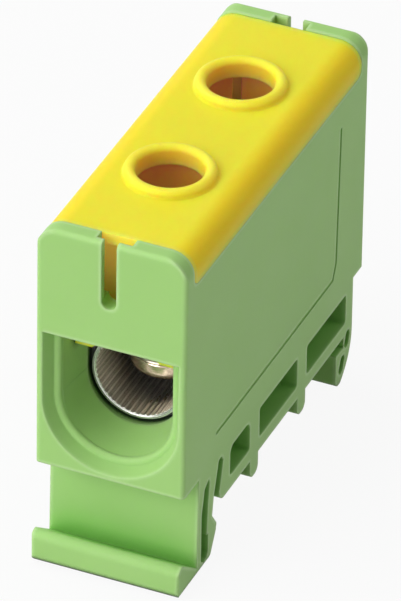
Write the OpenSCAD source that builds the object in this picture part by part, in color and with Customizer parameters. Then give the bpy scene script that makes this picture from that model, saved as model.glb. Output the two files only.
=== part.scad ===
// Feed-through terminal block for one stout conductor, clipped on a 35 mm top-hat rail.
// A moulded housing with a spring leg carries a bored metal body; a clip-on cover closes it
// and leaves two holes for the key that turns the clamp screws.
// X runs across the block, Y along the conductor with the front entry at -Y, Z up from the foot.

/* [Housing] */
// Width across the block
housing_w = 17; // [16.4:0.1:19]
// Length between the two end faces
housing_l = 48.2; // [47.6:0.1:54]
// Height of the end walls above the foot
housing_h = 42.2; // [41.8:0.1:46]
// Thickness of the side walls
side_wall = 1.5; // [1.2:0.1:1.7]
// Thickness of the end walls
end_wall = 2; // [1.8:0.1:2.4]
// Thickness of the floor under the metal body
floor_t = 1.75; // [1.2:0.05:2.5]
// Height of the rail foot, up to the lower edge of the end walls
foot_h = 12.55; // [12:0.05:14]
// Depth of the notch that takes the cover
notch_h = 4; // [3.4:0.1:4.6]
// Radius of the long top edges
shoulder_r = 2.6; // [1.5:0.1:3]
// Radius of the small outer edges
edge_r = 0.5; // [0.2:0.1:0.8]

/* [Conductor entry] */
// How far the entry's centre lies below the bore's axis
mouth_drop = 0.4; // [0.2:0.1:0.8]
// Height of the entry's flat top above the bore's axis
mouth_rise = 7.9; // [7:0.1:9]
// Half width of the entry at the end face
mouth_r = 7.75; // [7.4:0.05:7.9]
// Width of the ledge behind the entry's tapered mouth
ledge = 0.7; // [0.6:0.1:0.9]
// Radius of the ledge's rounded edge
ledge_round = 0.6; // [0.3:0.1:0.6]
// Depth from the end face to the end of the funnel
funnel_d = 6.6; // [6.2:0.1:8]

/* [Terminal body] */
// Radius of the conductor bore
bore_r = 4.85; // [4.5:0.05:5]
// Height of the metal above the bore's axis
body_rise = 11.7; // [11:0.1:12]
// Chamfer at the ends of the bore
bore_chamfer = 0.1; // [0.05:0.05:0.2]
// Gap between the funnel and the metal's collar
body_end_gap = 0.5; // [0.2:0.1:0.7]
// Length of the turned collar at each end of the bore
collar_l = 1; // [0.6:0.1:1.4]
// Wall of the turned collar
collar_wall = 0.35; // [0.3:0.05:0.45]
// Radial gap between the collar and the housing
collar_gap = 0.4; // [0.3:0.05:0.5]

/* [Clamp screws] */
// Radius over the thread
screw_r = 4.95; // [4.5:0.05:5]
// Length of the threaded part
screw_l = 12; // [11:0.1:13]
// Distance from the metal's end to a screw's axis
screw_inset = 7.8; // [7.4:0.1:9]
// Width across the flats of the key socket
socket_af = 5; // [4:0.5:6]
// Depth of the key socket
socket_depth = 5; // [3:0.5:7]
// Radius of the pressure pad
pad_r = 4; // [3.6:0.1:4]
// Thickness of the pressure pad
pad_h = 2.2; // [1.8:0.1:3]
// Radius of the pad's rounded lower edge
pad_round = 1.1; // [1:0.1:1.4]
// Height of the pad above the lowest line of the bore
pad_lift = 1.85; // [1.75:0.05:3]

/* [Cover] */
// How far the cover's top lies below the end walls' top
cover_drop = 0.15; // [0:0.05:0.6]
// Thickness of the cover's top
cover_t = 1.3; // [1:0.1:1.6]
// Thickness of the cover's side walls
cover_wall = 1.5; // [1.2:0.1:1.8]
// Radius of the key holes
key_hole_r = 3.65; // [3.2:0.05:4]
// Radius of the bead round a key hole, in section
bead_r = 0.65; // [0.5:0.05:0.8]
// Height of the bead's centre above the cover's top
bead_lift = 0.3; // [0:0.05:0.4]
// Wall of the sleeve that guides a screw's head
sleeve_wall = 1; // [0.8:0.1:1.2]
// Width of the slit in a sleeve
sleeve_slit = 1; // [0.6:0.1:1.4]
// Gap between the cover's inner lips and the metal below them
lip_gap = 3.4; // [2.6:0.1:4]
// Depth of the end skirt's front face from the end face
skirt_d = 4; // [3.4:0.1:4.4]
// Thickness of the end skirt
skirt_t = 1.6; // [1.2:0.1:1.8]
// Height of the skirt's lower edge above the bore's axis
skirt_rise = 4.55; // [4:0.05:5.2]

/* [End slots] */
// Width of the slot in an end wall
slot_w = 1.7; // [1:0.05:2]
// How far the slot lies to the left of the middle, seen from outside
slot_shift = 0.25; // [0:0.05:0.6]
// Depth of the slot below the end wall's top
slot_depth = 8.1; // [6:0.1:9]
// Width of the recess behind the slot
recess_w = 4; // [3:0.1:5]
// How far the recess lies to the right of its slot, seen from outside
recess_shift = 0.3; // [0:0.05:0.6]
// Wall left in front of the recess
recess_skin = 0.8; // [0.6:0.1:1.2]

/* [Rail foot] */
// Width of the rail
rail_w = 35; // [35:0.1:35.4]
// Thickness of the rail's flange
rail_t = 1; // [0.8:0.1:1.3]
// Height of the face that sits on the rail
seat_z = 6.1; // [5.8:0.1:6.6]
// Depth of the rail's front edge from the front face
rail_d = 8; // [7.8:0.1:8.2]
// How far the fixed hook reaches over the flange
hook_reach = 2; // [1.4:0.1:2.4]
// Height of the hook's lowest line
hook_z = 0.55; // [0.4:0.05:1.4]
// Radius of the hook's curved back
hook_back_r = 6.65; // [6.4:0.05:6.8]
// Length of the rear end that stands out past the foot
heel = 2.75; // [2:0.05:3.5]
// Depth of the spring leg's front face from the front face
leg_d = 4; // [3.8:0.1:4.4]
// Thickness of the spring leg at the nose
leg_t = 3.65; // [3.4:0.05:3.8]
// How far the leg leans forward at its foot
leg_lean = 0.3; // [0.1:0.1:0.5]
// How far the nose stands out from the leg
nose_reach = 1.2; // [0.8:0.1:1.4]
// Width of the slit beside the leg
leg_slit = 1.15; // [0.9:0.05:1.3]
// How far the pull tab stands out past the front face
tab_out = 1; // [0.4:0.1:1.4]
// Height of the pull tab's rounded lip
lip_h = 3.95; // [3.4:0.05:4.4]
// Slope of the tray behind the lip, in degrees
tray_slope = 36; // [30:0.5:38]
// Thickness of the ribs between the hooks
rib_t = 2.2; // [1.8:0.1:2.6]
// Distance from the base's front edge to the first rib
rib_d = 9.3; // [9:0.05:9.8]
// Distance between the two ribs
rib_pitch = 12.75; // [12:0.05:13]
// Height of the ribs' rounded ends
rib_z = 3.7; // [3:0.1:4.5]
// Solid web left between the cores of the two sides
core_web = 2; // [1.2:0.1:4]

/* [Hidden] */

$fn = 64;
// Clearance between pieces that sit in one another
fit = 0.1;
// Radial clearance of the screws in their thread and of the pads on their pilots
running = 0.05;
// Overshoot of a cut past the face that it opens
over = 1;
// How far a curve runs past its tangent, so that the two faces meet in a clean line
sink = 0.03;

// Walls and heights that follow from the driving sizes
inner_half = housing_w/2 - side_wall;
body_half = inner_half - fit;
bore_z = foot_h + floor_t + inner_half;
mouth_z = bore_z - mouth_drop;
seam_z = housing_h - notch_h;
notch_round = 1;
cover_top = housing_h - cover_drop;
cover_under = cover_top - cover_t;
body_top = bore_z + body_rise;
body_d = funnel_d + body_end_gap;
shoulder_d = body_d + collar_l - fit;
screw_hole_r = screw_r + running;
screw_y = housing_l/2 - body_d - screw_inset;

// The funnel narrows from the ledge to the round gap outside the metal's collar
gap_r = bore_r + collar_wall + collar_gap;
ledge_r = inner_half - ledge;
funnel_r1 = ledge_r - 2*sink;
funnel_r2 = gap_r - 2*fit;
arch_r = gap_r + collar_gap;

// Clamp screw and pad
pilot_r = 1.8;
pilot_l = 1.1;
pad_z = bore_z - bore_r + pad_lift;
screw_z = pad_z + pad_h + running;
feed_slack = 0.4;
hole_z = screw_z - feed_slack;
sleeve_gap = 0.3;
sleeve_r = screw_r + sleeve_gap;

// Foot: slit, base block, ribs and cores, as depths from the front face
slab_t = 1.3;
slab_z = foot_h - slab_t;
leg_flare = 1.4;
leg_top_t = leg_t + leg_flare;
// Spring leg behind: sole, nose with its flanks about the tip, neck and flare about the seat
sole_backs = [1.25, 0.45];
sole_rise = 0.5;
nose_r = 0.55;
nose_drop = 2.3;
nose_under = [0.45, 0.6];
nose_over = [0.35, 0.45];
neck_drop = 0.5;
flare_step = 0.4;
flare_rise = 1.9;
// Pull tab: lip, toe and edges
lip_r = 0.9;
toe_r = 1.3;
tab_edge_r = 0.3;
tab_corner_r = 0.9;
base_gap = 0.65;
base_d = leg_d + leg_t + leg_slit + base_gap;
base_end = housing_l - heel;
base_round = 1.3;
base_slope = 1;
rib_round = 0.9;
hook_d = rail_d + rail_w + fit - hook_reach;
rib_places = [base_d + rib_d, base_d + rib_d + rib_pitch];
rib_skin = 0.4;
rib_wall = rib_t + rib_skin;
core_floor = 1.7;
core_low = seat_z + core_floor;
core_roof = 1.05;
core_high = foot_h - core_roof;
core_r = 0.4;
// Walls that the cores leave at the base's front and rear end, and the front core's upper radius
core_front = 2.8;
core_rear = 1.95;
core_front_r = 1;
// Core of the spring leg: walls in front and behind, the bevel in front, the corners' reach past the
// rear wall, and their heights over the floor, over the seat and under the slab
leg_core_front = 0.85;
leg_core_rear = 1.4;
leg_core_bevel = 0.7;
leg_core_reaches = [0.4, 0.6, 0.3];
leg_core_lows = [1.4, 4, 1.7, 1.1, 0.9];
leg_core_rises = [1.3, 2.2];
leg_core_drops = [0.9, 0.2, 0.8];
// Two cores of the hook: distances from the base's rear end back to their ends, heights of the
// lower one over the floor and of the upper one under the seat
hook_core_w = 1.2;
hook_core_backs = [2.9, 2.5, 1.45, 1.2];
hook_core_lows = [2.3, 3.2];
hook_core_drops = [1.15, 0.3];
hook_round = 0.9;
// Room over the rail's flange in the hook's slot
flange_play = 0.3;
core_depth = (housing_w - core_web)/2;

// Thin line engraved in the side walls
line_w = 0.55;
line_depth = 0.12;
line_lead = 0.85;
line_rise = 3.25;
line_step = 1.7;
line_top_gap = 3.9;
// Distances from the base's rear end back to the line's two bends and to its upper end
line_backs = [5.9, 5.1, 4.6];
line_z = foot_h + line_rise;
line_path = [[base_d - line_lead, line_z], [base_end - line_backs[0], line_z],
             [base_end - line_backs[1], line_z + line_step],
             [base_end - line_backs[2], seam_z - line_top_gap]];

// The block stands so that the pull tab and the rear face lie evenly about the origin
module placed() {
    translate([0, tab_out/2, 0]) children();
}

// A profile drawn as depth and height, carried across the block
module across(w = housing_w, x = 0) {
    translate([x - w/2, -housing_l/2, 0])
        rotate([90, 0, 90])
            linear_extrude(w) children();
}

// A profile drawn as width and height, carried along the conductor
module along(d0, d1) {
    translate([0, d1 - housing_l/2, 0])
        rotate([90, 0, 0])
            linear_extrude(d1 - d0) children();
}

// The same shape at the front end and, turned round, at the rear end
module both_ends() {
    for (turn = [0, 180])
        rotate([0, 0, turn]) children();
}

// Rectangle from its low corner to its high corner, with its own radius at each corner
module rounded(low, high, r_low = 0, r_high = 0) {
    w = high[0] - low[0];
    h = high[1] - low[1];
    difference() {
        translate(low) square([w, h]);
        for (side = [0, 1]) {
            corner(low, [w, h], [side, 0], r_low);
            corner(low, [w, h], [side, 1], r_high);
        }
    }
}

// What a round corner takes off a rectangle
module corner(low, size, which, r) {
    if (r > 0)
        translate([low[0] + which[0]*size[0], low[1] + which[1]*size[1]])
            scale([1 - 2*which[0], 1 - 2*which[1]])
                difference() {
                    translate([-over, -over]) square(r + over);
                    translate([r, r]) circle(r);
                }
}

// Straight stroke with round ends
module stroke(from, to, w) {
    run = to - from;
    translate(from) {
        circle(w/2);
        rotate(atan2(run[1], run[0]))
            translate([0, sink - w/2]) square([norm(run), w - 2*sink]);
    }
    translate(to) circle(w/2);
}

// Round-bottomed channel with straight walls, open to a given height
module channel(z, r, top) {
    intersection() {
        translate([0, z]) circle(r);
        translate([-r - over, z - r - over]) square([2*(r + over), r + over]);
    }
    translate([-r, z]) square([2*r, top - z]);
}

// Cut for the cover between the end walls, seen from the side
module notch_profile(gap = 0) {
    rounded([end_wall + gap, seam_z], [housing_l - end_wall - gap, housing_h + over],
            r_low = notch_round);
}

// Whole outside of the block above the foot, with all its edges rounded
module envelope(top) {
    half = housing_w/2;
    intersection() {
        along(0, housing_l)
            rounded([-half, foot_h], [half, top], r_high = shoulder_r);
        across(housing_w + 2*over)
            rounded([0, foot_h], [housing_l, top], r_high = edge_r);
        translate([0, 0, foot_h])
            linear_extrude(top - foot_h)
                rounded([-half, -housing_l/2], [half, housing_l/2], edge_r, edge_r);
    }
}

// Spring leg with its catching nose, seen from the side
module leg_profile() {
    back = leg_d + leg_t;
    root = leg_d + leg_top_t;
    tip = [back + nose_reach - nose_r, seat_z - nose_drop];
    polygon([[leg_d, foot_h + over], [leg_d, foot_h], [leg_d - leg_lean, 0],
             [back - sole_backs[0], 0], [back - sole_backs[1], sole_rise],
             tip + [nose_under[0], -nose_under[1]], tip + nose_over, [back, seat_z - neck_drop],
             [back + flare_step, seat_z + flare_rise], [root, slab_z], [root, foot_h + over]]);
    translate(tip) circle(nose_r);
}

// Pull tab at the leg's end: a tray that slopes up to a rounded lip in front
module tab_profile() {
    crest = [lip_r - tab_out, lip_h - lip_r];
    toe = [toe_r - tab_out, toe_r];
    rise = crest + (lip_r - sink)*[sin(tray_slope), cos(tray_slope)];
    reach = leg_d + over - rise[0];
    translate(crest) circle(lip_r);
    translate(toe) circle(toe_r);
    polygon([[toe[0], 0], toe, [-tab_out, toe_r], [-tab_out, crest[1]], crest, rise,
             rise + reach*[1, -tan(tray_slope)], [leg_d + over, 0]]);
}

// What the round upright edges and the round lower edges take off the pull tab and its leg
module tab_corner_cut() {
    half = housing_w/2;
    size = [housing_w, housing_l];
    for (side = [0, 1]) {
        translate([0, 0, -over])
            linear_extrude(lip_h + 2*over)
                corner([-half, -housing_l/2 - tab_out], size, [side, 0], tab_edge_r);
        along(-tab_out - over, base_d)
            corner([-half, 0], size, [side, 0], tab_corner_r);
    }
}

// Base block that sits on the rail, with its two ribs
module base_profile() {
    translate([base_d + base_round, seat_z + base_round]) circle(base_round);
    polygon([[base_d, seat_z + base_round], [base_d + base_slope, slab_z],
             [base_d + base_slope, foot_h + over],
             [base_end, foot_h + over], [base_end, seat_z], [base_d + base_round, seat_z],
             [base_d + base_round, seat_z + base_round]]);
    for (place = rib_places)
        rounded([place - rib_t/2, rib_z], [place + rib_t/2, seat_z + over], r_low = rib_round);
}

// Fixed hook behind the rail, with the undercut for the rail's flange
module hook_profile() {
    slot_h = rail_t + flange_play;
    difference() {
        intersection() {
            rounded([hook_d, hook_z], [base_end + over, seat_z + over], r_low = hook_round);
            translate([base_end - hook_back_r, seat_z]) circle(hook_back_r);
        }
        translate([hook_d - over, seat_z - slot_h]) square([hook_reach + over, slot_h]);
    }
}

// Root of the leg: the slab over the flex slit, with the slit's round end
module slab_profile() {
    difference() {
        translate([leg_d, slab_z]) square([base_end - leg_d, foot_h + over - slab_z]);
        translate([leg_d + leg_top_t + leg_slit/2, slab_z]) circle(leg_slit/2);
    }
}

module foot_profile() {
    leg_profile();
    tab_profile();
    slab_profile();
    base_profile();
    hook_profile();
}

// Cores that lighten the foot, seen from the side
module core_profile() {
    edges = [base_d + core_front, rib_places[0] - rib_wall/2, rib_places[0] + rib_wall/2,
             rib_places[1] - rib_wall/2, rib_places[1] + rib_wall/2, base_end - core_rear];
    for (i = [0 : 2 : 4])
        rounded([edges[i], core_low], [edges[i + 1], core_high], core_r, i == 0 ? core_front_r : core_r);
    leg_core_profile();
    hook_core_profile();
}

module leg_core_profile() {
    front = leg_d + leg_core_front;
    rear = leg_d + leg_t - leg_core_rear;
    polygon([[front, leg_core_lows[0]],
             [front, seat_z + leg_core_rises[0]],
             [front + leg_core_bevel, slab_z - leg_core_drops[0]],
             [rear + leg_core_reaches[0], slab_z - leg_core_drops[1]],
             [rear + leg_core_reaches[1], slab_z - leg_core_drops[2]],
             [rear + leg_core_reaches[2], seat_z + leg_core_rises[1]],
             [rear, leg_core_lows[1]],
             [rear + leg_core_reaches[0], leg_core_lows[1]],
             [rear + leg_core_reaches[0], leg_core_lows[2]],
             [rear, leg_core_lows[3]],
             [front + leg_core_bevel, leg_core_lows[4]]]);
}

module hook_core_profile() {
    stroke([base_end - hook_core_backs[0], hook_core_lows[0]],
           [base_end - hook_core_backs[1], hook_core_lows[1]], hook_core_w);
    stroke([base_end - hook_core_backs[2], seat_z - hook_core_drops[0]],
           [base_end - hook_core_backs[3], seat_z - hook_core_drops[1]], hook_core_w);
}

// Way in for the conductor at one end: tapered mouth, rounded ledge and funnel
module entry_cut() {
    rise = bore_z + mouth_rise - mouth_z;
    translate([0, -housing_l/2, mouth_z]) {
        rotate([-90, 0, 0])
            rotate_extrude(angle = 180) mouth_section();
        linear_extrude(rise) {
            mouth_section();
            mirror([1, 0]) mouth_section();
        }
    }
    intersection() {
        along(end_wall, funnel_d)
            translate([-housing_w/2, 0]) square([housing_w, housing_h + over]);
        funnel();
    }
    along(funnel_d - fit, shoulder_d + fit)
        channel(bore_z, gap_r, housing_h + over);
}

// Half section of the entry's mouth and ledge, as radius and depth
module mouth_section() {
    ledge_d = end_wall - ledge_round;
    round_r = ledge_r + ledge_round;
    flare = over*(mouth_r - inner_half)/ledge_d;
    polygon([[0, -over], [mouth_r + flare, -over], [inner_half, ledge_d], [0, ledge_d]]);
    difference() {
        translate([0, ledge_d - over]) square([round_r, ledge_round + over]);
        translate([round_r, end_wall]) circle(ledge_round);
    }
}

// Half cone that climbs from the mouth's axis to the bore's, with upright walls above it
module funnel() {
    taper = funnel_d - end_wall;
    run = norm([taper, mouth_drop]);
    climb = atan2(mouth_drop, taper);
    // It runs past both ends, so that its tilted ends lie outside
    spare = 2*over;
    widening = spare*(funnel_r1 - funnel_r2)/run;
    translate([0, end_wall - housing_l/2, mouth_z]) {
        rotate([climb - 90, 0, 0])
            rotate_extrude(angle = 180)
                polygon([[0, -spare], [funnel_r1 + widening, -spare],
                         [funnel_r2 - widening, run + spare], [0, run + spare]]);
        intersection() {
            rotate([climb, 0, 0])
                translate([-housing_w/2, -spare, 0])
                    cube([housing_w, run + 2*spare, housing_h]);
            translate([0, -end_wall, -over])
                linear_extrude(housing_h)
                    funnel_plan(end_wall - over, funnel_d + over, -sink);
        }
    }
}

// Plan of the funnel's straight upper part between two depths, less a gap at its sides
module funnel_plan(d0, d1, gap) {
    taper = (funnel_r1 - funnel_r2)/(funnel_d - end_wall);
    half0 = funnel_r1 - taper*(d0 - end_wall) - gap;
    half1 = funnel_r1 - taper*(d1 - end_wall) - gap;
    polygon([[-half0, d0], [half0, d0], [half1, d1], [-half1, d1]]);
}

// Slot in an end wall, with the wider recess behind it
module end_slot_cut() {
    low = housing_h - slot_depth + slot_w/2;
    translate([-slot_shift, 0, 0]) {
        along(-over, end_wall + over)
            channel(low, slot_w/2, housing_h + over);
        along(recess_skin, end_wall + over)
            translate([recess_shift - recess_w/2, low]) square([recess_w, slot_depth + over]);
    }
}

module line_profile() {
    for (i = [1 : len(line_path) - 1])
        stroke(line_path[i - 1], line_path[i], line_w);
}

module housing() {
    color("#93cb69")
    placed() difference() {
        union() {
            envelope(housing_h);
            across() foot_profile();
        }
        tab_corner_cut();
        across(housing_w + 2*over) notch_profile();
        along(shoulder_d, housing_l - shoulder_d)
            channel(bore_z, inner_half, housing_h + over);
        both_ends() {
            entry_cut();
            end_slot_cut();
        }
        for (side = [-1, 1]) {
            across(core_depth + over, side*(housing_w - core_depth + over)/2) core_profile();
            across(line_depth + over, side*(housing_w - line_depth + over)/2) line_profile();
        }
    }
}

// Screw places along the conductor, in the block's own frame
module at_screw(side) {
    translate([0, side*screw_y, 0]) children();
}

// Bead round a key hole, as radius and height: a round crest with a hollow foot
module bead_profile() {
    foot_r = 0.35;
    crest = [key_hole_r + bead_r, cover_top + bead_lift];
    drop = foot_r - sink - bead_lift;
    foot = crest + [sqrt(pow(bead_r + foot_r, 2) - pow(drop, 2)), drop];
    translate(crest) circle(bead_r);
    difference() {
        polygon([crest, foot, [foot[0], cover_under], [key_hole_r, cover_under],
                 [key_hole_r, crest[1]]]);
        translate(foot) circle(foot_r);
    }
}

// Skirt that closes the funnel's upper part, arched over the bore
module end_skirt() {
    low = bore_z + skirt_rise;
    difference() {
        translate([0, -housing_l/2, low])
            linear_extrude(cover_under + over/2 - low)
                funnel_plan(skirt_d, skirt_d + skirt_t, fit);
        translate([0, 0, bore_z])
            rotate([90, 0, 0])
                cylinder(r = arch_r, h = housing_l + over, center = true);
    }
}

module cover() {
    half = housing_w/2;
    lip_t = 1;
    lip_z = body_top + lip_gap;
    lip_d = shoulder_d + fit;
    color("#e4d83f")
    placed() difference() {
        union() {
            difference() {
                intersection() {
                    along(0, housing_l)
                        rounded([-half, seam_z], [half, cover_top], r_high = shoulder_r);
                    across(housing_w + 2*over) notch_profile(fit);
                }
                along(0, housing_l)
                    rounded([cover_wall - half, seam_z - over], [half - cover_wall, cover_under],
                            r_high = 1);
            }
            for (side = [-1, 1])
                along(lip_d, housing_l - lip_d)
                    translate([side*(body_half - lip_t/2) - lip_t/2, lip_z])
                        square([lip_t, cover_under - lip_z + over/2]);
            both_ends() end_skirt();
            for (side = [-1, 1])
                at_screw(side) {
                    rotate_extrude() bead_profile();
                    translate([0, 0, body_top + fit])
                        cylinder(r = sleeve_r + sleeve_wall, h = cover_under + over/2 - body_top - fit);
                }
        }
        for (side = [-1, 1])
            at_screw(side) {
                cylinder(r = key_hole_r, h = 2*housing_h);
                translate([0, 0, body_top - over])
                    cylinder(r = sleeve_r, h = cover_under - body_top + over);
                rotate([0, 0, side > 0 ? 117 : -63])
                    translate([sleeve_r - over, -sleeve_slit/2, body_top - over])
                        cube([sleeve_wall + over + fit, sleeve_slit, cover_under - body_top]);
            }
    }
}

module terminal_body() {
    main_d = body_d + collar_l;
    color("silver")
    placed() difference() {
        union() {
            along(main_d, housing_l - main_d) channel(bore_z, body_half, body_top);
            along(body_d, housing_l - body_d)
                translate([0, bore_z]) circle(bore_r + collar_wall);
        }
        along(0, housing_l)
            translate([0, bore_z]) circle(bore_r);
        both_ends()
            translate([0, body_d - housing_l/2, bore_z])
                rotate([-90, 0, 0])
                    cylinder(r1 = bore_r + bore_chamfer, r2 = bore_r, h = bore_chamfer);
        for (side = [-1, 1])
            at_screw(side) {
                translate([0, 0, hole_z]) cylinder(r = screw_hole_r, h = body_top + over - hole_z);
                translate([0, 0, body_top - bore_chamfer])
                    cylinder(r1 = screw_hole_r, r2 = screw_hole_r + bore_chamfer, h = bore_chamfer);
            }
    }
}

// Threaded clamp screw with a key socket above and a pilot for the pad below
module clamp_screw(side) {
    bevel = 0.5;
    color("#b9b3a2")
    placed() at_screw(side)
        translate([0, 0, screw_z])
            difference() {
                union() {
                    rotate_extrude()
                        polygon([[0, 0], [screw_r - bevel, 0], [screw_r, bevel],
                                 [screw_r, screw_l - bevel], [screw_r - bevel, screw_l], [0, screw_l]]);
                    translate([0, 0, -pilot_l]) cylinder(r = pilot_r, h = pilot_l + bevel);
                }
                translate([0, 0, screw_l - socket_depth])
                    cylinder(d = socket_af/cos(30), h = socket_depth + over, $fn = 6);
            }
}

module front_screw() {
    clamp_screw(-1);
}

module rear_screw() {
    clamp_screw(1);
}

// Pad that turns freely on the screw's pilot and presses on the conductor
module pressure_pad(side) {
    color("#d3c39a")
    placed() at_screw(side)
        translate([0, 0, pad_z])
            difference() {
                rotate_extrude()
                    intersection() {
                        rounded([-pad_r, 0], [pad_r, pad_h], r_low = pad_round, r_high = 0.3);
                        square([pad_r, pad_h]);
                    }
                translate([0, 0, pad_h - pilot_l])
                    cylinder(r = pilot_r + running, h = pilot_l + over);
            }
}

module front_pressure_pad() {
    pressure_pad(-1);
}

module rear_pressure_pad() {
    pressure_pad(1);
}

housing();
cover();
terminal_body();
front_screw();
rear_screw();
front_pressure_pad();
rear_pressure_pad();
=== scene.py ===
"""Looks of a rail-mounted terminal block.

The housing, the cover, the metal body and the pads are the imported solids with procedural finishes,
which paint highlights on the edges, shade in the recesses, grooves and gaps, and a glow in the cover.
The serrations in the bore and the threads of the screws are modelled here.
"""

import math

import bpy
from bpy.props import FloatProperty, FloatVectorProperty, IntProperty, PointerProperty
from mathutils import Matrix, Vector


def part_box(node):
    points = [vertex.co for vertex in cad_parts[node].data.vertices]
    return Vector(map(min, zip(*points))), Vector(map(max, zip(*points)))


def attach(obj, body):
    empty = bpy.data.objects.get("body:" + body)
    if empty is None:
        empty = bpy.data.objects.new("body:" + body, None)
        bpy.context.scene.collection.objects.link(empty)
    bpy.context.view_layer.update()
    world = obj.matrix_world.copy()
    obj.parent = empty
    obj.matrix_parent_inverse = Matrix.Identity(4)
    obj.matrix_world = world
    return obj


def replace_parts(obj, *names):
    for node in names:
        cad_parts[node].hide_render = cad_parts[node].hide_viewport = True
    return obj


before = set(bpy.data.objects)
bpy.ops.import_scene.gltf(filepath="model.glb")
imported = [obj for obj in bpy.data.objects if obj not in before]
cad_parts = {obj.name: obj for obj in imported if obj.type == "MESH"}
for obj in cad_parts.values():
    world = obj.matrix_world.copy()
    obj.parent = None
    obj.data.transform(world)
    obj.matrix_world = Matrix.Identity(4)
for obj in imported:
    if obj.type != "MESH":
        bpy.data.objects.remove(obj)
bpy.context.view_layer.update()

bl_info = {
    "name": "Rail terminal block",
    "version": (1, 0, 0),
    "blender": (4, 5, 0),
    "location": "View3D > Sidebar > Terminal block",
    "description": "Dresses the solids of a rail-mounted terminal block and sets up its studio",
    "category": "Object",
}

MM = 0.001
WHITE = (1.0, 1.0, 1.0, 1.0)
BLACK = (0.0, 0.0, 0.0)

# Sockets of a Mix node that mixes colours
MIX_FIRST, MIX_SECOND, MIX_RESULT = 6, 7, 2
# Samples of the nodes that look round a place on a surface
ROUND_SAMPLES = 4
# Middle of a noise, and the part of its range that leads from one colour to another
NOISE_MIDDLE = 0.5
PATCHES = 0.3, 0.7
# Edge mask at which the painted edge highlight is full
EDGE_HIGHLIGHT_FULL = 0.3
# How far smears, grain, tool marks and patches swing the roughness
SMEAR_SWING, GRAIN_SWING, MARK_SWING, PATCH_SWING = 0.16, 0.1, 0.2, 0.1
# How much finer than the clouds the smears on the plastic are
SMEAR_FINENESS = 4

# Angles from which edges of the bore's lining and of the screws stay sharp
LINING_SHARP = math.radians(50)
SCREW_SHARP = math.radians(40)
SOCKET_SIDES = 6

# Lamps with their place and width, and the point that they face
LAMPS = {
    "key": ((-0.55, -1.05, 0.6), 1.1),
    "top": ((-0.6, 0.0, 1.1), 1.0),
    "side": ((0.9, 0.35, 0.5), 0.8),
}
LAMP_TARGET = (0.0, 0.0, 0.02)
# How far the floor lies under the object's foot
FLOOR_DROP = 0.01 * MM
# Nearest distance that the camera shows
CLIP_START = 0.01


def feed(tree, node, inputs):
    """Sets a node's sockets to values, or links them to wires."""
    for key, value in inputs.items():
        if isinstance(value, Wire):
            tree.links.new(value.socket, node.inputs[key])
        else:
            node.inputs[key].default_value = value


class Wire:
    """An output socket of a node tree; arithmetic on wires adds Math nodes to the tree."""

    def __init__(self, tree, socket):
        self.tree = tree
        self.socket = socket

    @classmethod
    def add(cls, tree, kind, settings=None, inputs=None, output=0):
        """Adds a node with its settings and its sockets' values or links; gives one output."""
        node = tree.nodes.new(kind)
        for name, value in (settings or {}).items():
            setattr(node, name, value)
        feed(tree, node, inputs or {})
        return cls(tree, node.outputs[output])

    def math(self, operation, first, second, clamp=False):
        """A Math node on two wires or numbers."""
        return self.add(self.tree, "ShaderNodeMath", {"operation": operation, "use_clamp": clamp},
                        {0: first, 1: second})

    def __add__(self, other):
        return self.math("ADD", self, other)

    __radd__ = __add__

    def __sub__(self, other):
        return self.math("SUBTRACT", self, other)

    def __rsub__(self, other):
        return self.math("SUBTRACT", other, self)

    def __mul__(self, other):
        return self.math("MULTIPLY", self, other)

    __rmul__ = __mul__

    def ramp(self, low, high, to_low=0.0, to_high=1.0):
        """The wire's value carried smoothly from one range to another."""
        return self.add(self.tree, "ShaderNodeMapRange", {"interpolation_type": "SMOOTHSTEP"},
                        {"Value": self, "From Min": low, "From Max": high,
                         "To Min": to_low, "To Max": to_high})

    def mix(self, first, second):
        """One colour where the wire is 0 and the other where it is 1."""
        sides = [side if isinstance(side, Wire) else (*side, 1.0) for side in (first, second)]
        return self.add(self.tree, "ShaderNodeMix", {"data_type": "RGBA"},
                        {0: self, MIX_FIRST: sides[0], MIX_SECOND: sides[1]}, output=MIX_RESULT)

    def noise(self, scale, detail=2.0, roughness=0.5):
        """Noise at the place that the wire gives."""
        return self.add(self.tree, "ShaderNodeTexNoise", None,
                        {"Vector": self, "Scale": scale, "Detail": detail, "Roughness": roughness})

    def swing(self, size):
        """The noise on the wire as a swing about zero."""
        return size * (self - NOISE_MIDDLE)

    def stretched(self, scale):
        """The place that the wire gives, stretched along the axes."""
        return self.add(self.tree, "ShaderNodeMapping", None, {"Vector": self, "Scale": scale})

    def bump(self, distance, normal):
        """A normal bent by the wire as a height."""
        return self.add(self.tree, "ShaderNodeBump", None,
                        {"Strength": 1.0, "Distance": distance, "Height": self, "Normal": normal},
                        output="Normal")


def new_finish(name):
    """A fresh material: itself, its node tree, its shader and the place on the object."""
    material = bpy.data.materials.new(name)
    material.use_nodes = True
    tree = material.node_tree
    place = Wire.add(tree, "ShaderNodeTexCoord", output="Object")
    return material, tree, tree.nodes["Principled BSDF"], place


def openness(tree, distance, **settings):
    """How open a place lies: 1 on a free face, less where walls stand within a distance."""
    return Wire.add(tree, "ShaderNodeAmbientOcclusion", {"samples": ROUND_SAMPLES, **settings},
                    {"Distance": distance}, output="AO")


def round_edges(tree, look):
    """The normal softened over the edges, and a mask of the outer edges for a painted highlight."""
    normal = Wire.add(tree, "ShaderNodeBevel", {"samples": ROUND_SAMPLES},
                      {"Radius": look.edge_radius})
    return normal, 1 - openness(tree, look.edge_width, inside=True, only_local=True)


def hidden_part(tree, look, place):
    """Mask of what lies behind other pieces, from one height to another, for painted shade or a
    painted glow.
    """
    height = Wire.add(tree, "ShaderNodeSeparateXYZ", None, {"Vector": place}, output="Z")
    own_sky = openness(tree, look.hidden_distance, only_local=True)
    lost_sky = own_sky - openness(tree, look.hidden_distance)
    hidden = lost_sky.ramp(look.hidden_none, look.hidden_full)
    return hidden * height.ramp(look.hidden_from, look.hidden_to)


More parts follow.
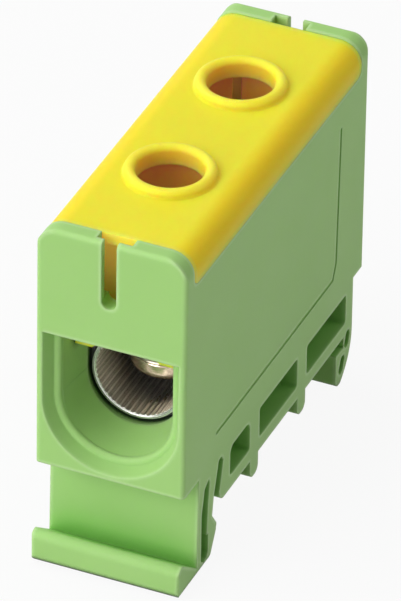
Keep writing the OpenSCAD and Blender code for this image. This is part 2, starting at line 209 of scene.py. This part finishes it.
def plastic(name, look, painted_glow_and_side_shade):
    """Moulded plastic: a cloudy tint, a painted highlight along the edges, painted shade in the
    recesses, with a fine grain.

    A plastic that takes painted glow and side shade has painted shade on its sides, and a painted glow
    in its recesses and behind other pieces. One that doesn't has near-black painted shade behind other
    pieces.
    """
    material, tree, shader, place = new_finish(name)
    normal, edge = round_edges(tree, look)
    cloud = place.noise(look.cloud_scale, detail=3.0).ramp(*PATCHES)
    tint = cloud.mix(look.colour, look.colour_cloud)
    # Painted shade: the shoulders, far from the middle, take a deeper orange
    if painted_glow_and_side_shade:
        side = Wire.add(tree, "ShaderNodeSeparateXYZ", None, {"Vector": place}, output="X")
        side = Wire.add(tree, "ShaderNodeMath", {"operation": "ABSOLUTE"}, {0: side})
        tint = side.ramp(look.side_none, look.side_full).mix(tint, look.colour_side_shade)
    # Painted highlight: the edges take a paler colour
    tint = edge.ramp(0.0, EDGE_HIGHLIGHT_FULL, 0.0, look.edge_highlight_share).mix(tint, look.colour_edge_highlight)
    # Painted shade: recesses, where walls stand near, take a deeper colour
    own_sky = openness(tree, look.deep_distance, only_local=True)
    deep = own_sky.ramp(look.deep_full, look.deep_none, 1.0, 0.0)
    tint = deep.mix(tint, look.colour_recess_shade)
    hidden = hidden_part(tree, look, place)
    # Painted glow: an emission that stands in for light, in the recesses and behind other pieces
    if painted_glow_and_side_shade:
        glow = hidden.mix(deep.mix(BLACK, look.painted_glow_recess), look.painted_glow_hidden)
        feed(tree, shader, {"Emission Color": glow, "Emission Strength": 1.0})
    else:
        # Painted shade: near black where other pieces stand close, below a height
        tint = hidden.mix(tint, look.colour_gap_shade)
    grain = place.noise(look.grain_scale, detail=3.0, roughness=0.6)
    smear = place.noise(look.cloud_scale * SMEAR_FINENESS)
    feed(tree, shader, {
        "Base Color": tint,
        "Roughness": look.roughness + smear.swing(SMEAR_SWING) + grain.swing(GRAIN_SWING),
        "Normal": grain.bump(look.grain_depth, normal),
        "Subsurface Weight": look.scatter,
        "Subsurface Radius": look.scatter_radius,
        "Subsurface Scale": look.scatter_scale,
        "IOR": look.ior,
        "Specular IOR Level": look.specular,
    })
    return material


def metal(name, look):
    """Plated metal: a patchy sheen over fine marks that run along one way, with a painted highlight on
    the edges and painted shade in the grooves.
    """
    material, tree, shader, place = new_finish(name)
    normal, edge = round_edges(tree, look)
    patch = place.noise(look.patch_scale, detail=4.0, roughness=0.6).ramp(*PATCHES)
    marks = place.stretched(look.mark_stretch).noise(look.mark_scale, detail=3.0, roughness=0.6)
    tint = patch.mix(look.colour, look.colour_patch)
    # Painted highlight: the edges take a brighter colour
    tint = edge.ramp(0.0, EDGE_HIGHLIGHT_FULL).mix(tint, look.colour_edge_highlight)
    # Painted shade: narrow grooves take a near-black colour
    own_sky = openness(tree, look.groove_width, only_local=True)
    crest = own_sky.ramp(look.groove_full, look.groove_none)
    feed(tree, shader, {
        "Base Color": crest.mix(look.colour_groove_shade, tint),
        "Metallic": 1.0,
        "Roughness": look.roughness + marks.swing(MARK_SWING) + patch.swing(PATCH_SWING),
        "Normal": marks.bump(look.mark_depth, normal),
    })
    return material


def dress(name, material):
    """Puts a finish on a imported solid."""
    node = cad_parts.get(name)
    if node is None:
        raise RuntimeError(f"the frame has no node {name}")
    node.data.materials.clear()
    node.data.materials.append(material)


def new_piece(name, points, faces, material, smooth_angle):
    """A mesh piece with its finish, smooth but for its sharp edges."""
    mesh = bpy.data.meshes.new(name)
    mesh.from_pydata(points, [], faces)
    mesh.update()
    mesh.polygons.foreach_set("use_smooth", [True] * len(mesh.polygons))
    mesh.set_sharp_from_angle(angle=smooth_angle)
    mesh.materials.append(material)
    piece = bpy.data.objects.new(name, mesh)
    bpy.context.scene.collection.objects.link(piece)
    return piece


class Shell:
    """Points and faces of a mesh in the making."""

    def __init__(self):
        self.points = []
        self.faces = []

    def row(self, points):
        """Adds points and gives their numbers."""
        start = len(self.points)
        self.points.extend(points)
        return list(range(start, len(self.points)))

    def strip(self, low, high, closed=True):
        """Quads between two rows of as many points."""
        count = len(low)
        for i in range(count if closed else count - 1):
            j = (i + 1) % count
            self.faces.append((low[i], low[j], high[j], high[i]))

    def cap(self, row, tip, up):
        """Triangles from a closed row to a point."""
        centre = self.row([tip])[0]
        for i, first in enumerate(row):
            second = row[(i + 1) % len(row)]
            self.faces.append((first, second, centre) if up else (second, first, centre))


def bore_lining(look):
    """Points and faces of the serrated lining of the bore, in four closed patches.

    Under the screw holes it runs from end to end. Beside and above them the holes break it into
    three.
    """
    low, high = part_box("terminal_body")
    axis_z = low.z + high.x
    ends = low.y + look.serration_inset, high.y - look.serration_inset
    holes = [(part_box(name)[0].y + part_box(name)[1].y) / 2 for name in ("front_screw", "rear_screw")]
    hole_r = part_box("front_screw")[1].x + look.hole_gap
    outer = look.bore_radius + look.lining_bite
    dip = math.asin((look.hole_drop + look.hole_gap) / look.bore_radius)
    shell = Shell()

    def inner(angle):
        """Radius of the lining's toothed face."""
        wave = 0.5 + 0.5 * math.cos(look.teeth * angle)
        tooth = look.tooth_depth * wave ** look.tooth_sharpness
        return look.bore_radius - look.lining_bite - tooth

    def reach(angle):
        """How far from a screw's axis the lining has to stop."""
        half = (look.bore_radius - look.lining_bite - look.tooth_depth) * math.cos(angle)
        return math.sqrt(hole_r ** 2 - half ** 2) + look.hole_gap

    def patch(start_angle, end_angle, from_y, to_y):
        """A closed piece of the lining between two angles and two edges."""
        steps = round(look.teeth * look.tooth_steps * (end_angle - start_angle) / math.tau)
        rows = [[], [], [], []]
        for i in range(steps + 1):
            angle = start_angle + (end_angle - start_angle) * i / steps
            near, far = from_y(angle), to_y(angle)
            for row, radius, y in zip(rows, (inner(angle), inner(angle), outer, outer),
                                      (near, far, far, near)):
                row.append((radius * math.cos(angle), y, axis_z + radius * math.sin(angle)))
        numbers = [shell.row(row) for row in rows]
        for row, following in zip(numbers, numbers[1:] + numbers[:1]):
            shell.strip(row, following, closed=False)
        shell.faces.append([row[0] for row in numbers])
        shell.faces.append([row[-1] for row in reversed(numbers)])

    under, over = (math.pi + dip, math.tau - dip), (-dip, math.pi + dip)
    patch(*under, lambda angle: ends[0], lambda angle: ends[1])
    patch(*over, lambda angle: ends[0], lambda angle: holes[0] - reach(angle))
    patch(*over, lambda angle: holes[0] + reach(angle), lambda angle: holes[1] - reach(angle))
    patch(*over, lambda angle: holes[1] + reach(angle), lambda angle: ends[1])
    return shell.points, shell.faces


def screw_shell(name, look):
    """Points and faces of a threaded screw with a hexagon socket, in place of a packed screw."""
    low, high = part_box(name)
    centre_x, centre_y = (low.x + high.x) / 2, (low.y + high.y) / 2
    crest = (high.x - low.x) / 2
    root = crest - look.thread_depth
    foot, top = low.z + look.pilot_length, high.z
    around = SOCKET_SIDES * look.side_steps
    angles = [math.tau * i / around for i in range(around)]
    shell = Shell()

    def ring(z, radius):
        """A row of points at one height, with one radius or one for each point."""
        radii = radius if isinstance(radius, list) else [radius] * around
        return shell.row([(centre_x + r * math.cos(a), centre_y + r * math.sin(a), z)
                          for r, a in zip(radii, angles)])

    def thread(z):
        """Radii of the thread at one height, with a bevel at both ends."""
        radii = []
        for angle in angles:
            turn = (z - foot) / look.thread_pitch - angle / math.tau
            slope = abs(2 * (turn - math.floor(turn)) - 1)
            lift = min(max((slope - look.thread_flat) / (1 - 2 * look.thread_flat), 0.0), 1.0)
            end = root - look.end_bevel + min(z - foot, top - z)
            radii.append(min(root + look.thread_depth * lift, end))
        return radii

    def hexagon(across):
        """Radii of a hexagon with a width across its flats."""
        sector = math.tau / SOCKET_SIDES
        return [across / 2 / math.cos((angle + sector / 2) % sector - sector / 2)
                for angle in angles]

    rows = round((top - foot) / look.thread_pitch * look.turn_steps)
    levels = [foot + (top - foot) * i / rows for i in range(rows + 1)]
    outside = [ring(z, thread(z)) for z in levels]
    below = [ring(foot, look.pilot_radius), ring(low.z, look.pilot_radius)]
    socket_foot = top - look.socket_depth
    above = [ring(top, look.socket_rim), ring(top - look.socket_bevel, hexagon(look.socket_flats)),
             ring(socket_foot, hexagon(look.socket_flats))]
    chain = list(reversed(below)) + outside + above
    for lower, upper in zip(chain, chain[1:]):
        shell.strip(lower, upper)
    shell.cap(below[-1], (centre_x, centre_y, low.z), up=False)
    shell.cap(above[-1], (centre_x, centre_y, socket_foot - look.socket_point), up=True)
    return shell.points, shell.faces


def length(name, description, default):
    """A length in metres."""
    return FloatProperty(name=name, description=description, default=default, min=0.0,
                         subtype="DISTANCE", unit="LENGTH", precision=5)


def triple(name, description, default, **kind):
    """Three numbers, one for each axis or each part of a colour."""
    return FloatVectorProperty(name=name, description=description, default=default, size=3, **kind)


def colour(name, description, default):
    """A colour in linear light."""
    return triple(name, description, default, min=0.0, max=1.0, subtype="COLOR")


def share(name, description, default):
    """A number from 0 to 1."""
    return FloatProperty(name=name, description=description, default=default, min=0.0, max=1.0,
                         subtype="FACTOR")


def number(name, description, default):
    """A plain number."""
    return FloatProperty(name=name, description=description, default=default, min=0.0)


def count(name, description, default, least):
    """A whole number."""
    return IntProperty(name=name, description=description, default=default, min=least)


class BLOCK_PG_housing(bpy.types.PropertyGroup):
    """Finish of the housing."""

    colour: colour("Colour", "Green of the plastic", (0.34, 0.585, 0.188))
    colour_cloud: colour("Cloud colour", "Green in the cloudy patches", (0.355, 0.60, 0.20))
    # Painted highlight along the edges
    colour_edge_highlight: colour("Edge colour", "Green along the edges", (0.55, 0.74, 0.40))
    # Painted shade in the recesses
    colour_recess_shade: colour("Deep colour", "Green in the recesses", (0.24, 0.55, 0.115))
    # Painted shade, near black, in the narrow gap round the metal
    colour_gap_shade: colour("Hidden colour", "Green in the narrow gap round the metal",
                          (0.015, 0.03, 0.012))
    hidden_distance: length("Hidden distance",
                            "How far another piece can stand and still hide", 1.2 * MM)
    hidden_none: share("Hidden none",
                       "Share of sky lost at which a place begins to be hidden", 0.12)
    hidden_full: share("Hidden full", "Share of sky lost at which a place is hidden", 0.4)
    hidden_from: length("Hidden from",
                        "Height above which hidden places keep their colour", 34.5 * MM)
    hidden_to: length("Hidden to", "Height below which hidden places turn dark", 33.0 * MM)
    # How the painted recess shade spreads
    deep_distance: length("Deep distance",
                          "How far a wall can stand and still make a recess", 8.0 * MM)
    deep_full: share("Deep full",
                     "Share of open sky at which a recess takes its full colour", 0.15)
    deep_none: share("Deep none", "Share of open sky at which the plain colour begins", 0.85)
    # How strong and how wide the painted edge highlight is
    edge_highlight_share: share("Edge paleness", "How far the edges take the edge colour", 0.45)
    edge_radius: length("Edge radius", "Radius of the softened edges", 0.3 * MM)
    edge_width: length("Edge width", "How far the edge colour reaches", 0.5 * MM)
    roughness: share("Roughness", "Roughness of the surface", 0.38)
    cloud_scale: number("Cloud scale", "Fineness of the cloudy patches", 70.0)
    grain_scale: number("Grain scale", "Fineness of the moulded grain", 4200.0)
    grain_depth: length("Grain depth", "Depth of the moulded grain", 0.004 * MM)
    scatter: share("Scatter", "Share of light that enters the plastic", 0.25)
    scatter_radius: triple("Scatter radius", "How far red, green and blue light travel inside",
                           (0.7, 1.0, 0.4))
    scatter_scale: length("Scatter depth", "Depth that the scatter radius is counted in",
                          1.0 * MM)
    ior: number("Refraction", "Index of refraction", 1.5)
    specular: share("Specular", "Strength of the surface's reflections", 0.06)


class BLOCK_PG_cover(bpy.types.PropertyGroup):
    """Finish of the cover."""

    colour: colour("Colour", "Yellow of the plastic", (0.81, 0.715, 0.03))
    colour_cloud: colour("Cloud colour", "Yellow in the cloudy patches", (0.82, 0.73, 0.036))
    # Painted highlight along the edges
    colour_edge_highlight: colour("Edge colour", "Yellow along the edges", (0.84, 0.78, 0.12))
    # Painted shade in the recesses, brown
    colour_recess_shade: colour("Deep colour", "Brown in the recesses", (0.68, 0.20, 0.075))
    # Painted shade on the shoulders of the cover
    colour_side_shade: colour("Side colour", "Yellow of the shoulders", (0.95, 0.66, 0.012))
    side_none: length("Side none",
                      "Distance from the middle at which the side colour begins", 5.4 * MM)
    side_full: length("Side full",
                      "Distance from the middle at which the side colour is full", 7.8 * MM)
    # Painted glow: emissions that stand in for light in the recesses and behind other pieces
    painted_glow_recess: colour("Deep glow", "Light that soaks through the plastic into the recesses",
                      (0.055, 0.014, 0.018))
    painted_glow_hidden: colour("Hidden glow", "Light that soaks into what lies behind other pieces",
                        (0.25, 0.125, 0.032))
    # Where the painted glow behind other pieces goes
    hidden_distance: length("Hidden distance",
                            "How far another piece can stand and still hide", 12.0 * MM)
    hidden_none: share("Hidden none",
                       "Share of sky lost at which a place begins to be hidden", 0.2)
    hidden_full: share("Hidden full", "Share of sky lost at which a place is hidden", 0.5)
    hidden_from: length("Hidden from", "Height at which hidden places begin to glow", 31.0 * MM)
    hidden_to: length("Hidden to", "Height at which hidden places glow fully", 40.0 * MM)
    # How the painted recess shade spreads
    deep_distance: length("Deep distance",
                          "How far a wall can stand and still make a recess", 12.0 * MM)
    deep_full: share("Deep full",
                     "Share of open sky at which a recess takes its full colour", 0.12)
    deep_none: share("Deep none", "Share of open sky at which the plain colour begins", 0.4)
    # How strong and how wide the painted edge highlight is
    edge_highlight_share: share("Edge paleness", "How far the edges take the edge colour", 0.6)
    edge_radius: length("Edge radius", "Radius of the softened edges", 0.2 * MM)
    edge_width: length("Edge width", "How far the edge colour reaches", 0.8 * MM)
    roughness: share("Roughness", "Roughness of the surface", 0.4)
    cloud_scale: number("Cloud scale", "Fineness of the cloudy patches", 70.0)
    grain_scale: number("Grain scale", "Fineness of the moulded grain", 4200.0)
    grain_depth: length("Grain depth", "Depth of the moulded grain", 0.004 * MM)
    scatter: share("Scatter", "Share of light that enters the plastic", 1.0)
    scatter_radius: triple("Scatter radius", "How far red, green and blue light travel inside",
                           (3.0, 1.0, 0.1))
    scatter_scale: length("Scatter depth", "Depth that the scatter radius is counted in",
                          0.8 * MM)
    ior: number("Refraction", "Index of refraction", 1.5)
    specular: share("Specular", "Strength of the surface's reflections", 0.07)


class BLOCK_PG_body(bpy.types.PropertyGroup):
    """Finish of the metal body, and the serrations in its bore."""

    colour: colour("Colour", "Colour of the plating", (0.42, 0.42, 0.41))
    colour_patch: colour("Patch colour", "Colour of the dull patches", (0.33, 0.33, 0.32))
    # Painted highlight on the edges
    colour_edge_highlight: colour("Edge colour", "Colour of the bright edges", (0.90, 0.89, 0.85))
    # Painted shade in the fine grooves
    colour_groove_shade: colour("Groove colour", "Colour in the fine grooves", (0.05, 0.05, 0.045))
    groove_width: length("Groove width", "How far the walls of a groove can stand", 0.4 * MM)
    groove_full: share("Groove full", "Share of open sky at which the groove colour is full", 0.8)
    groove_none: share("Groove none", "Share of open sky at which the groove colour ends", 0.98)
    edge_radius: length("Edge radius", "Radius of the softened edges", 0.1 * MM)
    edge_width: length("Edge width", "How far the edge colour reaches", 0.2 * MM)
    roughness: share("Roughness", "Roughness of the surface", 0.34)
    patch_scale: number("Patch scale", "Fineness of the dull patches", 260.0)
    mark_scale: number("Mark scale", "Fineness of the tool marks", 900.0)
    mark_depth: length("Mark depth", "Depth of the tool marks", 0.01 * MM)
    mark_stretch: triple("Mark stretch", "Fineness of the tool marks along each axis",
                         (1.0, 0.15, 1.0))
    bore_radius: length("Bore radius", "Radius of the conductor bore", 4.85 * MM)
    teeth: count("Teeth", "Serrations round the bore", 50, least=3)
    tooth_depth: length("Tooth depth", "Height of a serration", 0.11 * MM)
    tooth_sharpness: number("Tooth sharpness", "How narrow a serration's crest is", 1.4)
    tooth_steps: count("Tooth steps", "Points along a serration", 10, least=2)
    serration_inset: length("Serration inset",
                            "Where the serrations start behind the collar's end", 0.12 * MM)
    lining_bite: length("Lining bite", "How far the lining goes into the metal", 0.01 * MM)
    hole_gap: length("Hole gap", "Room left round a screw hole", 0.05 * MM)
    hole_drop: length("Hole drop",
                      "How far the screw holes reach under the bore's axis", 1.15 * MM)


class BLOCK_PG_screws(bpy.types.PropertyGroup):
    """Finish and thread of the clamp screws."""

    colour: colour("Colour", "Colour of the plating", (0.60, 0.55, 0.44))
    colour_patch: colour("Patch colour", "Colour of the dull patches", (0.46, 0.42, 0.34))
    # Painted highlight on the edges
    colour_edge_highlight: colour("Edge colour", "Colour of the bright edges", (0.80, 0.74, 0.60))
    # Painted shade in the fine grooves
    colour_groove_shade: colour("Groove colour", "Colour in the fine grooves", (0.05, 0.05, 0.045))
    groove_width: length("Groove width", "How far the walls of a groove can stand", 0.4 * MM)
    groove_full: share("Groove full", "Share of open sky at which the groove colour is full", 0.3)
    groove_none: share("Groove none", "Share of open sky at which the groove colour ends", 0.8)
    edge_radius: length("Edge radius", "Radius of the softened edges", 0.06 * MM)
    edge_width: length("Edge width", "How far the edge colour reaches", 0.12 * MM)
    roughness: share("Roughness", "Roughness of the surface", 0.3)
    patch_scale: number("Patch scale", "Fineness of the dull patches", 300.0)
    mark_scale: number("Mark scale", "Fineness of the tool marks", 1500.0)
    mark_depth: length("Mark depth", "Depth of the tool marks", 0.006 * MM)
    mark_stretch: triple("Mark stretch", "Fineness of the tool marks along each axis",
                         (1.0, 1.0, 4.0))
    thread_pitch: length("Thread pitch", "Distance between two turns of the thread", 1.5 * MM)
    thread_depth: length("Thread depth", "Depth of the thread", 0.8 * MM)
    thread_flat: share("Thread flat",
                       "Share of a turn that is flat at the crest and at the root", 0.12)
    turn_steps: count("Turn steps", "Rows of points along one turn", 14, least=4)
    side_steps: count("Side steps", "Points along a side of the socket", 18, least=2)
    end_bevel: length("End bevel",
                      "How far the screw's ends lie inside the thread's root", 0.15 * MM)
    pilot_radius: length("Pilot radius", "Radius of the pilot that carries the pad", 1.8 * MM)
    pilot_length: length("Pilot length", "Length of the pilot that carries the pad", 1.1 * MM)
    socket_flats: length("Socket flats", "Width of the key socket across its flats", 5.0 * MM)
    socket_depth: length("Socket depth", "Depth of the key socket", 5.0 * MM)
    socket_point: length("Socket point", "Depth of the drill point under the socket", 0.6 * MM)
    socket_rim: length("Socket rim", "Radius of the bevelled rim of the socket", 3.15 * MM)
    socket_bevel: length("Socket bevel", "Depth of the bevelled rim of the socket", 0.4 * MM)


class BLOCK_PG_pads(bpy.types.PropertyGroup):
    """Finish of the pressure pads."""

    colour: colour("Colour", "Colour of the polished metal", (0.62, 0.50, 0.38))
    colour_patch: colour("Patch colour", "Colour of the dull patches", (0.48, 0.38, 0.29))
    # Painted highlight on the edges
    colour_edge_highlight: colour("Edge colour", "Colour of the bright edges", (0.90, 0.84, 0.70))
    # Painted shade in the fine grooves
    colour_groove_shade: colour("Groove colour", "Colour in the fine grooves", (0.05, 0.05, 0.045))
    groove_width: length("Groove width", "How far the walls of a groove can stand", 0.4 * MM)
    groove_full: share("Groove full", "Share of open sky at which the groove colour is full", 0.3)
    groove_none: share("Groove none", "Share of open sky at which the groove colour ends", 0.8)
    edge_radius: length("Edge radius", "Radius of the softened edges", 0.08 * MM)
    edge_width: length("Edge width", "How far the edge colour reaches", 0.16 * MM)
    roughness: share("Roughness", "Roughness of the surface", 0.22)
    patch_scale: number("Patch scale", "Fineness of the dull patches", 350.0)
    mark_scale: number("Mark scale", "Fineness of the turning marks", 700.0)
    mark_depth: length("Mark depth", "Depth of the turning marks", 0.008 * MM)
    mark_stretch: triple("Mark stretch", "Fineness of the turning marks along each axis",
                         (1.0, 1.0, 8.0))


class BLOCK_PG_stage(bpy.types.PropertyGroup):
    """Studio: floor, light and camera."""

    floor_colour: colour("Floor colour", "Colour of the floor", (0.60, 0.60, 0.60))
    floor_half: length("Floor half", "Half of the floor's width", 3.0)
    floor_glow: share("Floor glow", "How far the floor shows as plain white", 0.92)
    ambient: number("Ambient", "Strength of the light from all round", 0.21)
    key_watts: number("Key light", "Power of the main light, low in front on the left", 15.5)
    top_watts: number("Top light", "Power of the light above on the left", 9.0)
    side_watts: number("Side light", "Power of the light on the right side", 2.2)
    camera_place: triple("Camera place", "Where the camera stands",
                         (0.296464, -0.693943, 0.537512), subtype="TRANSLATION", unit="LENGTH")
    camera_right: triple("Camera right", "Which way the picture's right lies",
                         (0.9157, 0.401623, 0.013886), subtype="DIRECTION")
    camera_forward: triple("Camera forward", "Which way the camera looks",
                           (-0.324186, 0.758682, -0.56507), subtype="DIRECTION")
    lens: number("Lens", "Focal length in millimetres", 517.4)


class BLOCK_PG_looks(bpy.types.PropertyGroup):
    """All sizes and colours of the looks."""

    housing: PointerProperty(type=BLOCK_PG_housing)
    cover: PointerProperty(type=BLOCK_PG_cover)
    body: PointerProperty(type=BLOCK_PG_body)
    screws: PointerProperty(type=BLOCK_PG_screws)
    pads: PointerProperty(type=BLOCK_PG_pads)
    stage: PointerProperty(type=BLOCK_PG_stage)


class BLOCK_OT_housing(bpy.types.Operator):
    """Dresses the housing in green plastic"""

    bl_idname = "block.housing"
    bl_label = "Housing"

    def execute(self, context):
        green = plastic("housing_green", context.scene.block.housing, painted_glow_and_side_shade=False)
        dress("housing", green)
        return {"FINISHED"}


class BLOCK_OT_cover(bpy.types.Operator):
    """Dresses the cover in yellow plastic"""

    bl_idname = "block.cover"
    bl_label = "Cover"

    def execute(self, context):
        yellow = plastic("cover_yellow", context.scene.block.cover, painted_glow_and_side_shade=True)
        dress("cover", yellow)
        return {"FINISHED"}


class BLOCK_OT_terminal_body(bpy.types.Operator):
    """Dresses the metal body and lines its bore with serrations"""

    bl_idname = "block.terminal_body"
    bl_label = "Terminal body"

    def execute(self, context):
        look = context.scene.block.body
        tin = metal("tinned_metal", look)
        dress("terminal_body", tin)
        lining = new_piece("bore_serrations", *bore_lining(look), tin, LINING_SHARP)
        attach(lining, "root")
        return {"FINISHED"}


class BLOCK_OT_clamp_screws(bpy.types.Operator):
    """Makes the two threaded clamp screws"""

    bl_idname = "block.clamp_screws"
    bl_label = "Clamp screws"

    def execute(self, context):
        look = context.scene.block.screws
        steel = metal("screw_steel", look)
        for name in ("front_screw", "rear_screw"):
            screw = new_piece(f"{name}_thread", *screw_shell(name, look), steel, SCREW_SHARP)
            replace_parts(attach(screw, name), name)
        return {"FINISHED"}


class BLOCK_OT_pressure_pads(bpy.types.Operator):
    """Dresses the two pressure pads in polished metal"""

    bl_idname = "block.pressure_pads"
    bl_label = "Pressure pads"

    def execute(self, context):
        polished = metal("pad_steel", context.scene.block.pads)
        for name in ("front_pressure_pad", "rear_pressure_pad"):
            dress(name, polished)
        return {"FINISHED"}


def shown(tree):
    """1 for rays that show a surface to the camera, straight or by way of a mirror or glass."""
    paths = [Wire.add(tree, "ShaderNodeLightPath", output=name)
             for name in ("Is Camera Ray", "Is Glossy Ray", "Is Transmission Ray")]
    return paths[0].math("ADD", paths[0] + paths[1], paths[2], clamp=True)


def white_world(context, stage):
    """Soft light from all round, in front of plain white."""
    world = bpy.data.worlds.new("studio")
    world.use_nodes = True
    tree = world.node_tree
    tree.nodes.clear()
    soft, white = (Wire.add(tree, "ShaderNodeBackground", None,
                            {"Color": WHITE, "Strength": strength})
                   for strength in (stage.ambient, 1.0))
    both = Wire.add(tree, "ShaderNodeMixShader", None, {0: shown(tree), 1: soft, 2: white})
    feed(tree, tree.nodes.new("ShaderNodeOutputWorld"), {"Surface": both})
    context.scene.world = world


def pale_floor(context, stage):
    """A wide pale floor that keeps the object's shadow."""
    half = stage.floor_half
    mesh = bpy.data.meshes.new("floor")
    corners = [(-half, -half, 0.0), (half, -half, 0.0), (half, half, 0.0), (-half, half, 0.0)]
    mesh.from_pydata(corners, [], [(0, 1, 2, 3)])
    material = bpy.data.materials.new("floor_pale")
    material.use_nodes = True
    tree = material.node_tree
    tree.nodes.clear()
    matt = Wire.add(tree, "ShaderNodeBsdfDiffuse", None, {"Color": (*stage.floor_colour, 1.0)})
    glow = Wire.add(tree, "ShaderNodeEmission", None, {"Color": WHITE, "Strength": 1.0})
    both = Wire.add(tree, "ShaderNodeMixShader", None,
                    {0: shown(tree) * stage.floor_glow, 1: matt, 2: glow})
    feed(tree, tree.nodes.new("ShaderNodeOutputMaterial"), {"Surface": both})
    mesh.materials.append(material)
    floor = bpy.data.objects.new("floor", mesh)
    floor.location.z = -FLOOR_DROP
    context.scene.collection.objects.link(floor)


def area_light(context, name, place, size, watts):
    """A square lamp that faces the object."""
    lamp = bpy.data.lights.new(name, "AREA")
    lamp.shape = "SQUARE"
    lamp.size = size
    lamp.energy = watts
    light = bpy.data.objects.new(name, lamp)
    light.location = place
    way = Vector(LAMP_TARGET) - Vector(place)
    light.rotation_euler = way.to_track_quat("-Z", "Y").to_euler()
    context.scene.collection.objects.link(light)


def photo_camera(context, stage):
    """The camera that took the photo."""
    right = Vector(stage.camera_right).normalized()
    back = -Vector(stage.camera_forward).normalized()
    up = back.cross(right)
    view = Matrix((right, up, back)).transposed().to_4x4()
    view.translation = stage.camera_place
    camera_data = bpy.data.cameras.new("photo")
    camera_data.lens = stage.lens
    camera_data.clip_start = CLIP_START
    camera = bpy.data.objects.new("photo", camera_data)
    camera.matrix_world = view
    context.scene.collection.objects.link(camera)
    context.scene.camera = camera


class BLOCK_OT_stage(bpy.types.Operator):
    """Sets up the floor, the light and the camera"""

    bl_idname = "block.stage"
    bl_label = "Stage"

    def execute(self, context):
        stage = context.scene.block.stage
        context.scene.view_settings.view_transform = "Standard"
        white_world(context, stage)
        pale_floor(context, stage)
        watts = {"key": stage.key_watts, "top": stage.top_watts, "side": stage.side_watts}
        for name, (place, size) in LAMPS.items():
            area_light(context, name, place, size, watts[name])
        photo_camera(context, stage)
        return {"FINISHED"}


OPERATORS = (BLOCK_OT_housing, BLOCK_OT_cover, BLOCK_OT_terminal_body, BLOCK_OT_clamp_screws,
             BLOCK_OT_pressure_pads, BLOCK_OT_stage)


class BLOCK_PT_sidebar(bpy.types.Panel):
    """Lists the steps that dress the terminal block"""

    bl_idname = "BLOCK_PT_sidebar"
    bl_label = "Terminal block"
    bl_space_type = "VIEW_3D"
    bl_region_type = "UI"
    bl_category = "Terminal block"

    def draw(self, context):
        for step in OPERATORS:
            self.layout.operator(step.bl_idname)


CLASSES = (BLOCK_PG_housing, BLOCK_PG_cover, BLOCK_PG_body, BLOCK_PG_screws, BLOCK_PG_pads,
           BLOCK_PG_stage, BLOCK_PG_looks, *OPERATORS, BLOCK_PT_sidebar)


def register():
    for item in CLASSES:
        bpy.utils.register_class(item)
    bpy.types.Scene.block = PointerProperty(type=BLOCK_PG_looks)


def unregister():
    del bpy.types.Scene.block
    for item in reversed(CLASSES):
        bpy.utils.unregister_class(item)


def main():
    register()
    bpy.ops.block.housing()
    bpy.ops.block.cover()
    bpy.ops.block.terminal_body()
    bpy.ops.block.clamp_screws()
    bpy.ops.block.pressure_pads()
    bpy.ops.block.stage()


if __name__ == "__main__":
    main()
